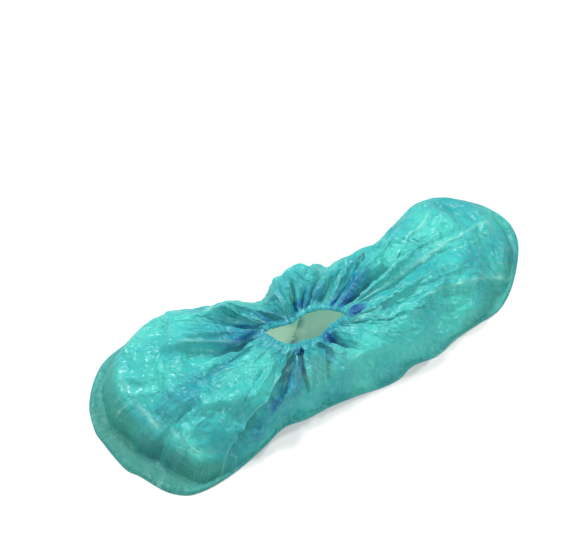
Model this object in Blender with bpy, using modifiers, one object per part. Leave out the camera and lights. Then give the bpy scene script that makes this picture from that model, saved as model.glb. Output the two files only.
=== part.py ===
"""A disposable shoe cover of thin polyethylene film, lying open on a flat surface.

The cover is a bag with three pieces: a flat sole, a puffed upper that rises from the sole's
edge and is gathered in to a small opening, and the rolled hem round that opening, which holds
the elastic. The toe points along -X, the heel along +X, and +Z is up.
Lengths are in metres.
"""

import math

import bmesh
import bpy
from mathutils import Matrix, Vector

# Driving sizes
COVER_LENGTH = 0.380
COVER_WIDTH = 0.143
CROWN_HEIGHT = 0.044
OPENING_LENGTH = 0.061
OPENING_WIDTH = 0.0225
OPENING_HEIGHT = 0.029
OPENING_TURN = math.radians(-11.0)
FLANGE_WIDTH = 0.014
FILM_WALL = 0.0012
FILM_GAP = 0.0003
HEM_RADIUS = 0.0018
HEM_RUFFLE = 0.0004
HEM_SWAY = 0.0015
GATHER_DEPTH = 0.0035

# Where the middle of the opening lies, as shares of the length and the width
OPENING_ALONG_SHARE = -0.033
OPENING_ACROSS_SHARE = -0.022

# Counts
GATHERS = 32
COLUMNS_PER_GATHER = 4
OUTLINE_STEPS = 4

# The sole's outline: share of the length from the toe tip, and the near and far edges as
# shares of the width from the long axis
SOLE_SECTIONS = (
    # along, near, far
    (0.002, 0.045, 0.110),
    (0.013, -0.165, 0.225),
    (0.032, -0.255, 0.312),
    (0.057, -0.388, 0.388),
    (0.085, -0.465, 0.445),
    (0.115, -0.495, 0.475),
    (0.160, -0.499, 0.495),
    (0.210, -0.482, 0.501),
    (0.270, -0.446, 0.485),
    (0.330, -0.398, 0.440),
    (0.380, -0.415, 0.395),
    (0.440, -0.418, 0.350),
    (0.500, -0.437, 0.340),
    (0.545, -0.460, 0.350),
    (0.590, -0.465, 0.352),
    (0.630, -0.435, 0.335),
    (0.685, -0.450, 0.320),
    (0.740, -0.415, 0.350),
    (0.800, -0.400, 0.405),
    (0.850, -0.388, 0.448),
    (0.890, -0.338, 0.435),
    (0.930, -0.252, 0.372),
    (0.970, -0.135, 0.262),
    (0.990, -0.050, 0.165),
    (0.998, 0.030, 0.090),
)

# The opening's clear outline: share of its length from the toe end, and its near and far
# edges as shares of its width from the middle line
OPENING_SECTIONS = (
    # along, near, far
    (0.000, 0.170, 0.240),
    (0.060, -0.060, 0.300),
    (0.140, -0.330, 0.310),
    (0.230, -0.490, 0.300),
    (0.360, -0.500, 0.290),
    (0.490, -0.510, 0.390),
    (0.600, -0.450, 0.460),
    (0.700, -0.320, 0.440),
    (0.820, -0.170, 0.330),
    (0.930, -0.110, 0.150),
    (1.000, -0.070, 0.000),
)

# Spokes that the film follows from the sole's edge to the opening. Both shares run round
# from the toe, first along the near side. Flange is a share of FLANGE_WIDTH, crown a share of
# CROWN_HEIGHT, crest how far in from the edge the film is highest, and swell how steeply it
# rises there, from 1 for a straight slope to 2 for a round shoulder
SPOKES = (
    # outline, rim, flange, crown, crest, swell
    (0.000, 0.000, 1.20, 0.92, 0.45, 1.9),
    (0.050, 0.045, 1.60, 0.94, 0.48, 1.9),
    (0.100, 0.085, 1.00, 0.90, 0.50, 1.8),
    (0.150, 0.130, 0.50, 0.80, 0.60, 1.7),
    (0.215, 0.190, 0.35, 0.76, 0.64, 1.6),
    (0.250, 0.270, 0.35, 0.76, 0.60, 1.6),
    (0.285, 0.350, 0.35, 0.72, 0.70, 1.6),
    (0.350, 0.455, 0.35, 0.78, 0.62, 1.7),
    (0.430, 0.490, 0.80, 0.74, 0.50, 1.8),
    (0.500, 0.515, 0.60, 0.66, 0.45, 1.9),
    (0.570, 0.545, 0.40, 0.72, 0.45, 1.9),
    (0.625, 0.590, 0.30, 0.66, 0.50, 1.8),
    (0.670, 0.640, 0.25, 0.62, 0.65, 1.4),
    (0.700, 0.690, 0.25, 0.68, 0.62, 1.4),
    (0.717, 0.725, 0.25, 0.92, 0.45, 1.8),
    (0.738, 0.755, 0.25, 1.04, 0.26, 2.0),
    (0.765, 0.795, 0.25, 0.98, 0.30, 2.0),
    (0.785, 0.835, 0.25, 0.60, 0.80, 1.2),
    (0.830, 0.880, 0.30, 0.80, 0.60, 1.7),
    (0.868, 0.930, 0.35, 0.98, 0.32, 2.0),
    (0.930, 0.975, 0.80, 0.98, 0.38, 2.0),
)

# Main folds: where they lie (mean of the outline's and the rim's share), half width, rise as
# a share of CROWN_HEIGHT (a valley is negative), and the shares of the way in where a fold
# begins, is fullest and ends
FOLDS = (
    # around, half_width, rise, begins, fullest, ends
    (0.024, 0.030, -0.24, 0.30, 0.78, 0.98),
    (0.051, 0.024, -0.22, 0.12, 0.24, 0.42),
    (0.085, 0.022, 0.10, 0.20, 0.60, 0.90),
    (0.125, 0.018, 0.16, 0.20, 0.70, 0.95),
    (0.168, 0.024, -0.42, 0.08, 0.62, 0.98),
    (0.214, 0.012, 0.24, 0.20, 0.75, 0.95),
    (0.232, 0.011, -0.22, 0.30, 0.80, 0.98),
    (0.254, 0.017, 0.24, 0.40, 0.75, 0.98),
    (0.285, 0.014, -0.16, 0.35, 0.80, 0.98),
    (0.326, 0.024, -0.32, 0.35, 0.88, 1.00),
    (0.430, 0.028, 0.16, 0.10, 0.60, 0.98),
    (0.466, 0.014, -0.12, 0.20, 0.75, 0.98),
    (0.490, 0.014, 0.12, 0.15, 0.65, 0.95),
    (0.508, 0.012, -0.14, 0.25, 0.75, 0.98),
    (0.524, 0.013, 0.14, 0.20, 0.65, 0.95),
    (0.546, 0.018, -0.30, 0.45, 0.90, 1.00),
    (0.574, 0.014, 0.12, 0.20, 0.70, 0.95),
    (0.604, 0.018, -0.22, 0.45, 0.88, 1.00),
    (0.640, 0.020, 0.14, 0.30, 0.70, 0.95),
    (0.672, 0.013, -0.16, 0.35, 0.80, 0.98),
    (0.690, 0.012, 0.14, 0.40, 0.75, 0.95),
    (0.708, 0.011, -0.30, 0.40, 0.86, 1.00),
    (0.732, 0.012, -0.28, 0.40, 0.86, 1.00),
    (0.766, 0.014, -0.26, 0.25, 0.80, 0.98),
    (0.797, 0.018, 0.22, 0.25, 0.80, 0.95),
    (0.840, 0.022, -0.24, 0.35, 0.88, 1.00),
    (0.870, 0.014, 0.08, 0.25, 0.70, 0.95),
    (0.906, 0.016, 0.16, 0.25, 0.68, 0.95),
    (0.934, 0.016, -0.28, 0.35, 0.80, 1.00),
    (0.966, 0.018, 0.18, 0.20, 0.62, 0.98),
    (0.990, 0.012, -0.22, 0.55, 0.90, 1.00),
)

# Rows of the upper, as shares of the way in from the sole's edge to the hem
ROWS = (0.0, 0.05, 0.10, 0.15, 0.21, 0.28, 0.36, 0.44, 0.52, 0.60, 0.68, 0.76, 0.83, 0.89, 0.945, 1.0)
GATHERS_BEGIN_SHARE = 0.45
GATHERS_FULL_SHARE = 0.90

# Film colours, linear
FILM_TEAL = (0.060, 0.420, 0.400, 1.0)
SOLE_GREEN = (0.330, 0.600, 0.430, 1.0)
HEM_BLUE = (0.020, 0.150, 0.300, 1.0)


def clear_scene():
    for item in list(bpy.data.objects):
        bpy.data.objects.remove(item, do_unlink=True)


def smooth_step(low, high, value):
    """0 up to low, 1 from high on, and a smooth rise between."""
    t = min(max((value - low) / (high - low), 0.0), 1.0)
    return t * t * (3.0 - 2.0 * t)


def closed_spline(corners, steps):
    """A smooth closed line through the corners, with that many steps between each two."""
    count = len(corners)
    line = []
    for i in range(count):
        before, start, end, after = (corners[(i + k) % count] for k in (-1, 0, 1, 2))
        for step in range(steps):
            t = step / steps
            line.append(
                0.5
                * (
                    2.0 * start
                    + (end - before) * t
                    + (2.0 * before - 5.0 * start + 4.0 * end - after) * t**2
                    + (3.0 * start - before - 3.0 * end + after) * t**3
                )
            )
    return line


class Loop:
    """A closed line in plan that gives the point at any share of its length."""

    def __init__(self, points):
        self.points = points
        self.reach = [0.0]
        for i, point in enumerate(points):
            self.reach.append(self.reach[-1] + (points[(i + 1) % len(points)] - point).length)

    def at(self, share):
        """The point at that share of the length, and the level direction out of the loop."""
        distance = (share % 1.0) * self.reach[-1]
        low, high = 0, len(self.points)
        while high - low > 1:
            middle = (low + high) // 2
            if self.reach[middle] <= distance:
                low = middle
            else:
                high = middle
        t = (distance - self.reach[low]) / (self.reach[low + 1] - self.reach[low])
        start, end = self.points[low], self.points[(low + 1) % len(self.points)]
        along = (end - start).normalized()
        return start.lerp(end, t), Vector((along.y, -along.x, 0.0))


def section_loop(sections, length, width):
    """The closed line through a table of sections, from its toe end along the near side."""
    near = [Vector(((along - 0.5) * length, side * width, 0.0)) for along, side, _ in sections]
    far = [Vector(((along - 0.5) * length, side * width, 0.0)) for along, _, side in reversed(sections)]
    return closed_spline(near + far, OUTLINE_STEPS)


def sole_loop():
    """The sole's outline, with the middle of its box on the origin."""
    line = section_loop(SOLE_SECTIONS, COVER_LENGTH, COVER_WIDTH)
    middle = Vector(
        [
            (min(point[axis] for point in line) + max(point[axis] for point in line)) / 2.0
            for axis in range(3)
        ]
    )
    return Loop([point - middle for point in line])


def opening_loop():
    """The opening's clear outline in plan, turned a little and set in its place."""
    place = Vector((OPENING_ALONG_SHARE * COVER_LENGTH, OPENING_ACROSS_SHARE * COVER_WIDTH, 0.0))
    turn = Matrix.Rotation(OPENING_TURN, 3, "Z")
    return Loop([place + turn @ p for p in section_loop(OPENING_SECTIONS, OPENING_LENGTH, OPENING_WIDTH)])


def spoke_at(around):
    """The spoke's columns at a place round the cover, which is the mean of its two shares."""
    count = len(SPOKES)
    places = [(spoke[0] + spoke[1]) / 2.0 for spoke in SPOKES] + [1.0]
    around %= 1.0
    i = max(k for k in range(count) if places[k] <= around)
    t = (around - places[i]) / (places[i + 1] - places[i])
    low, high = SPOKES[i], SPOKES[(i + 1) % count]
    turn = 1.0 if i + 1 == count else 0.0
    shares = [low[k] + (high[k] + turn - low[k]) * t for k in (0, 1)]
    blend = smooth_step(0.0, 1.0, t)
    return shares + [low[k] + (high[k] - low[k]) * blend for k in (2, 3, 4, 5)]


def fold_rise(around, inward):
    """How far the main folds lift the film there, in metres."""
    rise = 0.0
    for place, half_width, height, begins, fullest, ends in FOLDS:
        off = abs((around - place + 0.5) % 1.0 - 0.5) / half_width
        if off < 1.0 and begins < inward < ends:
            ridge = (1.0 - off) ** 2 * (1.0 + 2.0 * off)
            swell = smooth_step(begins, fullest, inward) * (1.0 - smooth_step(fullest, ends, inward))
            rise += height * ridge * swell
    return rise * CROWN_HEIGHT


def gather_rise(column, inward):
    """The fine gathers, which the elastic draws in and which fade out towards the edge."""
    phase = 2.0 * math.pi * column / COLUMNS_PER_GATHER
    swell = smooth_step(GATHERS_BEGIN_SHARE, GATHERS_FULL_SHARE, inward)
    held = 1.0 - smooth_step(GATHERS_FULL_SHARE, 1.0, inward)
    return GATHER_DEPTH / 2.0 * math.cos(phase) * swell * (0.25 + 0.75 * held)


def hem_height(column):
    """The height of the hem's centre line, which sways gently as it goes round."""
    turn = 2.0 * math.pi * column / (GATHERS * COLUMNS_PER_GATHER)
    return OPENING_HEIGHT + HEM_SWAY * math.sin(2.0 * turn + 0.6)


def upper_point(outline, opening, column, inward):
    """A point of the upper's middle surface."""
    around = column / (GATHERS * COLUMNS_PER_GATHER)
    outline_share, rim_share, flange, crown, crest, swell = spoke_at(around)
    foot, _ = outline.at(outline_share)
    edge, outward = opening.at(rim_share)
    rim = edge + outward * (2.0 * HEM_RADIUS + 2.0 * HEM_RUFFLE + FILM_GAP + FILM_WALL / 2.0)
    run = (foot - rim).length
    low = FILM_WALL + FILM_GAP + FILM_WALL / 2.0
    flange_end = min(flange * FLANGE_WIDTH / run, 0.5 * crest)
    high = max(crown * CROWN_HEIGHT, low)
    rim_height = hem_height(column)
    if inward <= flange_end:
        height = low
    elif inward <= crest:
        left = (crest - inward) / (crest - flange_end)
        height = low + (high - low) * (1.0 - left**swell) ** (1.0 / swell)
    else:
        height = high + (rim_height - high) * smooth_step(crest, 1.0, inward)
    body = smooth_step(flange_end, crest, inward)
    height += body * (fold_rise(around, inward) + gather_rise(column, inward))
    point = foot.lerp(rim, inward)
    return Vector((point.x, point.y, max(height, low)))


def film_material(name, colour, roughness):
    material = bpy.data.materials.new(name)
    material.use_nodes = True
    shader = material.node_tree.nodes["Principled BSDF"]
    shader.inputs["Base Color"].default_value = colour
    shader.inputs["Roughness"].default_value = roughness
    shader.inputs["Metallic"].default_value = 0.0
    material.diffuse_color = colour
    return material


def add_object(name, data, collection, material):
    item = bpy.data.objects.new(name, data)
    collection.objects.link(item)
    data.materials.append(material)
    return item


def add_sole(outline, collection):
    """The flat bottom of the bag, one layer of film cut to the outline."""
    curve = bpy.data.curves.new("sole_film", "CURVE")
    curve.dimensions = "2D"
    curve.fill_mode = "BOTH"
    curve.extrude = FILM_WALL / 2.0
    spline = curve.splines.new("POLY")
    spline.points.add(len(outline.points) - 1)
    for spot, point in zip(spline.points, outline.points):
        spot.co = (point.x, point.y, 0.0, 1.0)
    spline.use_cyclic_u = True
    sole = add_object("sole_film", curve, collection, film_material("sole_film", SOLE_GREEN, 0.4))
    sole.location.z = FILM_WALL / 2.0
    return sole


def add_upper(outline, opening, collection):
    """The puffed film from the sole's edge to the hem, a lofted surface given its wall."""
    columns = GATHERS * COLUMNS_PER_GATHER
    shell = bmesh.new()
    rings = [
        [shell.verts.new(upper_point(outline, opening, column, inward)) for column in range(columns)]
        for inward in ROWS
    ]
    for low, high in zip(rings, rings[1:]):
        for column in range(columns):
            following = (column + 1) % columns
            shell.faces.new((low[column], low[following], high[following], high[column]))
    bmesh.ops.recalc_face_normals(shell, faces=shell.faces)
    mesh = bpy.data.meshes.new("upper_film")
    shell.to_mesh(mesh)
    shell.free()
    upper = add_object("upper_film", mesh, collection, film_material("upper_film", FILM_TEAL, 0.3))
    wall = upper.modifiers.new("Wall", "SOLIDIFY")
    wall.thickness = FILM_WALL
    wall.offset = 0.0
    mesh.shade_smooth()
    return upper


def add_hem(opening, collection):
    """The rolled edge of film round the elastic, ruffled by the same gathers as the upper."""
    columns = GATHERS * COLUMNS_PER_GATHER
    curve = bpy.data.curves.new("elastic_hem", "CURVE")
    curve.dimensions = "3D"
    curve.bevel_depth = HEM_RADIUS
    curve.bevel_resolution = 1
    spline = curve.splines.new("POLY")
    spline.points.add(columns - 1)
    for column, spot in enumerate(spline.points):
        edge, outward = opening.at(spoke_at(column / columns)[1])
        centre = edge + outward * (HEM_RADIUS + HEM_RUFFLE)
        spot.co = (centre.x, centre.y, hem_height(column), 1.0)
        ruffle = HEM_RUFFLE * math.cos(2.0 * math.pi * column / COLUMNS_PER_GATHER)
        spot.radius = (HEM_RADIUS + ruffle) / HEM_RADIUS
    spline.use_cyclic_u = True
    return add_object("elastic_hem", curve, collection, film_material("elastic_hem", HEM_BLUE, 0.5))


clear_scene()
shoe_cover = bpy.data.collections.new("shoe_cover")
bpy.context.scene.collection.children.link(shoe_cover)
sole_outline = sole_loop()
opening_line = opening_loop()
add_sole(sole_outline, shoe_cover)
add_upper(sole_outline, opening_line, shoe_cover)
add_hem(opening_line, shoe_cover)
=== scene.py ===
import math

import bpy
import numpy as np
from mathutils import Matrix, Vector, noise


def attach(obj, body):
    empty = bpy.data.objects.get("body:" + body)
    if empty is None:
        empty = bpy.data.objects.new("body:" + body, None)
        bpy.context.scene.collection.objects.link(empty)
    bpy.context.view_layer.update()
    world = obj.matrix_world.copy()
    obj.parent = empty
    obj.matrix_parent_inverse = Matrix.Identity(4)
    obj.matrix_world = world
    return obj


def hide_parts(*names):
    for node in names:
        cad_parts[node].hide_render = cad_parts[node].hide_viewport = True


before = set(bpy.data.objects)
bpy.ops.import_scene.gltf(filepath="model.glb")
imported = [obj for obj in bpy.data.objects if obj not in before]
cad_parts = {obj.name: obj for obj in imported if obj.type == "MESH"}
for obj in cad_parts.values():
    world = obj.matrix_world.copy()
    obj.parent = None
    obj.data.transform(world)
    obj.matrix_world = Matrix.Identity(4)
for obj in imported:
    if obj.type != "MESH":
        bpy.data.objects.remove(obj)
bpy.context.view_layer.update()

# Camera, at the photograph's angle: 58 degrees above the surface, from the toe's near side
CAMERA_AZIMUTH = math.radians(-31.0)
CAMERA_ELEVATION = math.radians(58.0)
CAMERA_DISTANCE = 1.5
CAMERA_AIM = Vector((0.01268, 0.0631, 0.0))
CAMERA_LENS_MM = 116.07

toward_camera = Vector((
    math.sin(CAMERA_AZIMUTH) * math.cos(CAMERA_ELEVATION),
    -math.cos(CAMERA_AZIMUTH) * math.cos(CAMERA_ELEVATION),
    math.sin(CAMERA_ELEVATION),
))
camera = bpy.data.objects.new("camera", bpy.data.cameras.new("camera"))
camera.data.sensor_width = 36.0
camera.data.lens = CAMERA_LENS_MM
camera.location = CAMERA_AIM + toward_camera * CAMERA_DISTANCE
camera.rotation_euler = toward_camera.to_track_quat("Z", "Y").to_euler()
bpy.context.scene.collection.objects.link(camera)
bpy.context.scene.camera = camera

# Floor and light: a matt white table in a bright white room, under five square soft lamps.
# The key stands at the toe's far side, two large weak ones fill the near side, and two small
# ones at the heel draw the bright lines along the creases.
FLOOR_SIZE = 6.0
FLOOR_WHITE = "#E0E0DE"
WORLD_WHITE = "#EEF3F6"
WORLD_STRENGTH = 0.44
LAMPS = (
    # name, place, side in metres, watts
    ("key", (-0.40, 1.20, 1.58), 0.36, 36.5),
    ("fill", (1.2, -1.0, 1.6), 1.6, 3.5),
    ("toe_fill", (-1.5, -0.5, 1.1), 1.2, 9.0),
    ("crease_light", (0.62, 0.75, 1.50), 0.12, 13.0),
    ("near_crease_light", (1.0, -0.75, 1.2), 0.2, 9.0),
)


def linear(code):
    """An sRGB hex colour as linear red, green, blue and 1."""
    values = [int(code[k:k + 2], 16) / 255.0 for k in (1, 3, 5)]
    values = [v / 12.92 if v <= 0.04045 else ((v + 0.055) / 1.055) ** 2.4 for v in values]
    return values + [1.0]


def add_node(tree, kind, settings=None, links=None):
    """Adds a node, sets its own settings or sockets by name, and joins sockets to others."""
    node = tree.nodes.new(kind)
    for key, value in (settings or {}).items():
        if isinstance(key, str) and hasattr(node, key):
            setattr(node, key, value)
        else:
            node.inputs[key].default_value = value
    for key, source in (links or {}).items():
        tree.links.new(source, node.inputs[key])
    return node


bpy.ops.mesh.primitive_plane_add(size=FLOOR_SIZE)
floor = bpy.context.object
floor.name = "floor"
# Matt white laminate: it scatters light evenly, so it shows no mirror image of the cover and
# only a soft shadow
table_top = bpy.data.materials.new("matt white table top")
table_top.use_nodes = True
shader = table_top.node_tree.nodes["Principled BSDF"]
shader.inputs["Base Color"].default_value = linear(FLOOR_WHITE)
shader.inputs["Roughness"].default_value = 0.9
shader.inputs["Specular IOR Level"].default_value = 0.2
floor.data.materials.append(table_top)

bpy.context.scene.view_settings.view_transform = "Standard"
world = bpy.data.worlds.new("studio")
world.use_nodes = True
world.node_tree.nodes["Background"].inputs["Color"].default_value = linear(WORLD_WHITE)
world.node_tree.nodes["Background"].inputs["Strength"].default_value = WORLD_STRENGTH
bpy.context.scene.world = world

for name, place, side, watts in LAMPS:
    lamp = bpy.data.lights.new(name, "AREA")
    lamp.size = side
    lamp.energy = watts
    item = bpy.data.objects.new(name, lamp)
    item.location = place
    item.rotation_euler = Vector(place).to_track_quat("Z", "Y").to_euler()
    bpy.context.scene.collection.objects.link(item)

# Sole film: the flat bottom of the bag, one layer of thin cast polyethylene (CPE) that lies
# on the table in the outline that the cover takes by itself. With one layer over white, it
# looks pale green through the opening.
COVER_LENGTH = 0.380
COVER_WIDTH = 0.143
SOLE_SECTIONS = (
    # along, near, far: shares of the length from the toe and of the width from the middle
    (0.002, 0.045, 0.110),
    (0.013, -0.165, 0.225),
    (0.032, -0.255, 0.312),
    (0.057, -0.388, 0.388),
    (0.085, -0.465, 0.445),
    (0.115, -0.495, 0.475),
    (0.160, -0.499, 0.495),
    (0.210, -0.482, 0.501),
    (0.270, -0.446, 0.485),
    (0.330, -0.398, 0.440),
    (0.380, -0.415, 0.395),
    (0.440, -0.418, 0.350),
    (0.500, -0.437, 0.340),
    (0.545, -0.460, 0.350),
    (0.590, -0.465, 0.352),
    (0.630, -0.435, 0.335),
    (0.685, -0.450, 0.320),
    (0.740, -0.415, 0.350),
    (0.800, -0.400, 0.405),
    (0.850, -0.388, 0.448),
    (0.890, -0.338, 0.435),
    (0.930, -0.252, 0.372),
    (0.970, -0.135, 0.262),
    (0.990, -0.050, 0.165),
    (0.998, 0.030, 0.090),
)
SOLE_COLUMNS = 480
SOLE_RINGS = 72
# Shares of the way in from the outline: the sheet's edge, and its innermost ring
SOLE_REACH = (0.014, 0.985)
SOLE_HEIGHT = 0.0006
SOLE_LOWEST = 0.0002
SOLE_RIPPLE = 0.0004
SOLE_RIPPLE_LENGTH = 0.030
# The one crease seen through the opening: its two ends, rise, half width, and the width of its
# shaded side, where shade is painted darker
SOLE_CREASE = ((-0.0010, 0.0225), (-0.0262, -0.0010))
SOLE_CREASE_RISE = 0.0018
SOLE_CREASE_HALF = 0.0022
SOLE_CREASE_WIDE = 0.0055
SOLE_HAZE_PATCH = 0.025
SOLE_LAY = 0.00667
CPE_IOR = 1.51
CPE_PALE = "#E8F1D0"
CPE_PALE_HAZE = "#D8E6C6"
CPE_PALE_CREASE_SHADE = "#6FA79A"
# Sockets of a Mix node: the share, and the two colours or the two vectors
MIX_SHARE = 0
COLOUR_FROM, COLOUR_TO = 6, 7
VECTOR_FROM, VECTOR_TO = 4, 5


def section_loop(sections, length, width, steps=16):
    """The smooth closed line through a table of sections, from the toe along the near side."""
    near = [((along - 0.5) * length, side * width) for along, side, _ in sections]
    far = [((along - 0.5) * length, side * width) for along, _, side in reversed(sections)]
    corners = np.array(near + far)
    before, end, after = (np.roll(corners, k, axis=0) for k in (1, -1, -2))
    line = []
    for t in np.arange(steps) / steps:
        line.append(0.5 * (
            2.0 * corners
            + (end - before) * t
            + (2.0 * before - 5.0 * corners + 4.0 * end - after) * t**2
            + (3.0 * corners - before - 3.0 * end + after) * t**3
        ))
    return np.stack(line, axis=1).reshape(-1, 2)


def along_loop(line, share):
    """Points at those shares of a closed line's length, and the directions out of it."""
    closed = np.vstack([line, line[:1]])
    steps = np.linalg.norm(np.diff(closed, axis=0), axis=1)
    reach = np.concatenate([[0.0], np.cumsum(steps)])

    def points(at):
        at = (at % 1.0) * reach[-1]
        return np.stack([np.interp(at, reach, closed[:, k]) for k in (0, 1)], axis=-1)

    run = points(share + 0.002) - points(share - 0.002)
    run /= np.linalg.norm(run, axis=-1, keepdims=True)
    return points(share), np.stack([run[..., 1], -run[..., 0]], axis=-1)


def ring_mesh(name, rings, closed_middle=False):
    """A mesh of quads through rings of points, shaped (rings, columns, 3)."""
    rows, columns = rings.shape[:2]
    index = np.arange(rows * columns).reshape(rows, columns)
    following = np.roll(index, -1, axis=1)
    quads = np.stack([index[:-1], following[:-1], following[1:], index[1:]], axis=-1)
    faces = quads.reshape(-1, 4).tolist()
    if closed_middle:
        faces.append(index[-1].tolist())
    mesh = bpy.data.meshes.new(name)
    mesh.from_pydata(rings.reshape(-1, 3).tolist(), [], faces)
    mesh.shade_smooth()
    return mesh


def add_piece(name, mesh, material):
    """Puts a mesh in the scene with its material, riding on the one body."""
    piece = bpy.data.objects.new(name, mesh)
    bpy.context.scene.collection.objects.link(piece)
    piece.data.materials.append(material)
    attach(piece, "root")
    return piece


def gentle_noise(points, scale, seed, octaves=2):
    """Smooth random heights from -1 to 1 at points, from seeded waves in every direction."""
    draw = np.random.default_rng(seed)
    total = np.zeros(points.shape[:-1])
    weight = 0.0
    for octave in range(octaves):
        for _ in range(9):
            way = draw.normal(size=points.shape[-1])
            way /= np.linalg.norm(way)
            wave = 2.0 * math.pi / (scale * draw.uniform(0.7, 1.5) / 2**octave)
            total += np.sin(points @ way * wave + draw.uniform(0.0, 2.0 * math.pi)) / 2**octave
            weight += 1.0 / 2**octave
    return total / weight * 2.2


sole_line = section_loop(SOLE_SECTIONS, COVER_LENGTH, COVER_WIDTH)
sole_line -= (sole_line.min(axis=0) + sole_line.max(axis=0)) / 2.0
share = np.arange(SOLE_COLUMNS) / SOLE_COLUMNS
edge, _ = along_loop(sole_line, share)
inward = np.linspace(*SOLE_REACH, SOLE_RINGS)[:, None, None]
sole_plan = edge[None] * (1.0 - inward)
ripple = SOLE_HEIGHT + SOLE_RIPPLE * gentle_noise(sole_plan, SOLE_RIPPLE_LENGTH, 4)
start, end = np.array(SOLE_CREASE)
crease_way = (end - start) / np.linalg.norm(end - start)
past = (sole_plan - start) @ crease_way / np.linalg.norm(end - start)
beside = (sole_plan - start) @ np.array([-crease_way[1], crease_way[0]])
lasting = np.clip(3.0 - 6.0 * np.abs(past - 0.5), 0.0, 1.0)
ripple = ripple + SOLE_CREASE_RISE * lasting * np.exp(-(beside / SOLE_CREASE_HALF) ** 2)
sole_rings = np.concatenate([sole_plan, np.maximum(ripple, SOLE_LOWEST)[..., None]], axis=-1)
# Painted shade: the sole's colour is darkened on the crease's one side
shaded = lasting * np.clip(1.0 - beside / SOLE_CREASE_WIDE, 0.0, 1.0) * (beside > 0.0)

# Cast polyethylene, one layer: thin, milky and half see-through, so over a white table it is
# a pale green with a faint haze and a weak, wide gloss. Its own grain is well under 1 mm and
# wouldn't show: the bump is the sheet's gentle lay, in waves of 7 mm.
cpe_single = bpy.data.materials.new("CPE film, one layer")
cpe_single.use_nodes = True
tree = cpe_single.node_tree
shader = tree.nodes["Principled BSDF"]
place = add_node(tree, "ShaderNodeTexCoord")
wander = add_node(tree, "ShaderNodeTexNoise", {"Scale": 1.0 / SOLE_HAZE_PATCH, "Detail": 3.0},
                  {"Vector": place.outputs["Object"]})
pale = add_node(tree, "ShaderNodeMix", {
    "data_type": "RGBA",
    COLOUR_FROM: linear(CPE_PALE),
    COLOUR_TO: linear(CPE_PALE_HAZE),
}, {MIX_SHARE: wander.outputs["Fac"]})
# The crease attribute carries that painted shade
crease = add_node(tree, "ShaderNodeAttribute", {"attribute_name": "crease"})
tint = add_node(tree, "ShaderNodeMix", {"data_type": "RGBA", COLOUR_TO: linear(CPE_PALE_CREASE_SHADE)},
                {MIX_SHARE: crease.outputs["Fac"], COLOUR_FROM: pale.outputs[2]})
tree.links.new(tint.outputs[2], shader.inputs["Base Color"])
shader.inputs["Roughness"].default_value = 0.42
shader.inputs["IOR"].default_value = CPE_IOR
lay = add_node(tree, "ShaderNodeTexNoise", {"Scale": 1.0 / SOLE_LAY, "Detail": 3.0},
               {"Vector": place.outputs["Object"]})
bump = add_node(tree, "ShaderNodeBump", {"Strength": 0.35, "Distance": 0.0006},
                {"Height": lay.outputs["Fac"]})
tree.links.new(bump.outputs["Normal"], shader.inputs["Normal"])
sole_mesh = ring_mesh("sole_sheet", sole_rings, closed_middle=True)
crease_shade = sole_mesh.attributes.new("crease", "FLOAT", "POINT")
crease_shade.data.foreach_set("value", shaded.ravel().astype(np.float32))
sole = add_piece("sole_sheet", sole_mesh, cpe_single)
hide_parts("sole_film")

# Upper film: the rest of the bag, the same cast film drawn up from the sole's edge and in to
# the opening. It keeps the folds of its packing and buckles into fine crumples all over.
CROWN_HEIGHT = 0.044
FLANGE_WIDTH = 0.014
FILM_LOW = 0.0021
FILM_LOWEST = 0.0014
FILM_FOOT = 0.0006
FILM_GAP = 0.0003
# The mean way from the outline to the opening's rim, and the flange's least and most share
MEAN_RUN = 0.09
FLANGE_SHARES = (0.06, 0.20)
OPENING_LENGTH = 0.061
OPENING_WIDTH = 0.0225
OPENING_HEIGHT = 0.029
OPENING_TURN = math.radians(-11.0)
OPENING_ALONG = -0.033
OPENING_ACROSS = -0.022
OPENING_SECTIONS = (
    # along, near, far: shares of the opening's length and width
    (0.000, 0.170, 0.240),
    (0.060, -0.060, 0.300),
    (0.140, -0.330, 0.310),
    (0.230, -0.490, 0.300),
    (0.360, -0.500, 0.290),
    (0.490, -0.510, 0.390),
    (0.600, -0.450, 0.460),
    (0.700, -0.320, 0.440),
    (0.820, -0.170, 0.330),
    (0.930, -0.110, 0.150),
    (1.000, -0.070, 0.000),
)
HEM_RADIUS = 0.0018
HEM_RUFFLE = 0.0004
HEM_SWAY = 0.0015
# Lines up the film, from the sole's outline to the opening's rim, both as shares of their
# length from the toe along the near side
SPOKES = (
    # outline, rim, shares of the flange's width and the crown's height, crest, roundness
    (0.000, 0.000, 1.20, 0.92, 0.45, 1.9),
    (0.050, 0.045, 1.60, 0.94, 0.48, 1.9),
    (0.100, 0.085, 1.00, 0.90, 0.50, 1.8),
    (0.150, 0.130, 0.50, 0.80, 0.60, 1.7),
    (0.215, 0.190, 0.35, 0.76, 0.64, 1.6),
    (0.250, 0.270, 0.35, 0.76, 0.60, 1.6),
    (0.285, 0.350, 0.35, 0.72, 0.70, 1.6),
    (0.350, 0.455, 0.35, 0.78, 0.62, 1.7),
    (0.430, 0.490, 0.80, 0.74, 0.50, 1.8),
    (0.500, 0.515, 0.60, 0.66, 0.45, 1.9),
    (0.570, 0.545, 0.40, 0.72, 0.45, 1.9),
    (0.625, 0.590, 0.30, 0.66, 0.50, 1.8),
    (0.670, 0.640, 0.25, 0.62, 0.65, 1.4),
    (0.700, 0.690, 0.25, 0.68, 0.62, 1.4),
    (0.717, 0.725, 0.25, 0.92, 0.45, 1.8),
    (0.738, 0.755, 0.25, 1.04, 0.26, 2.0),
    (0.765, 0.795, 0.25, 0.98, 0.30, 2.0),
    (0.785, 0.835, 0.25, 0.60, 0.80, 1.2),
    (0.830, 0.880, 0.30, 0.80, 0.60, 1.7),
    (0.868, 0.930, 0.35, 0.98, 0.32, 2.0),
    (0.930, 0.975, 0.80, 0.98, 0.38, 2.0),
)
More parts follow.
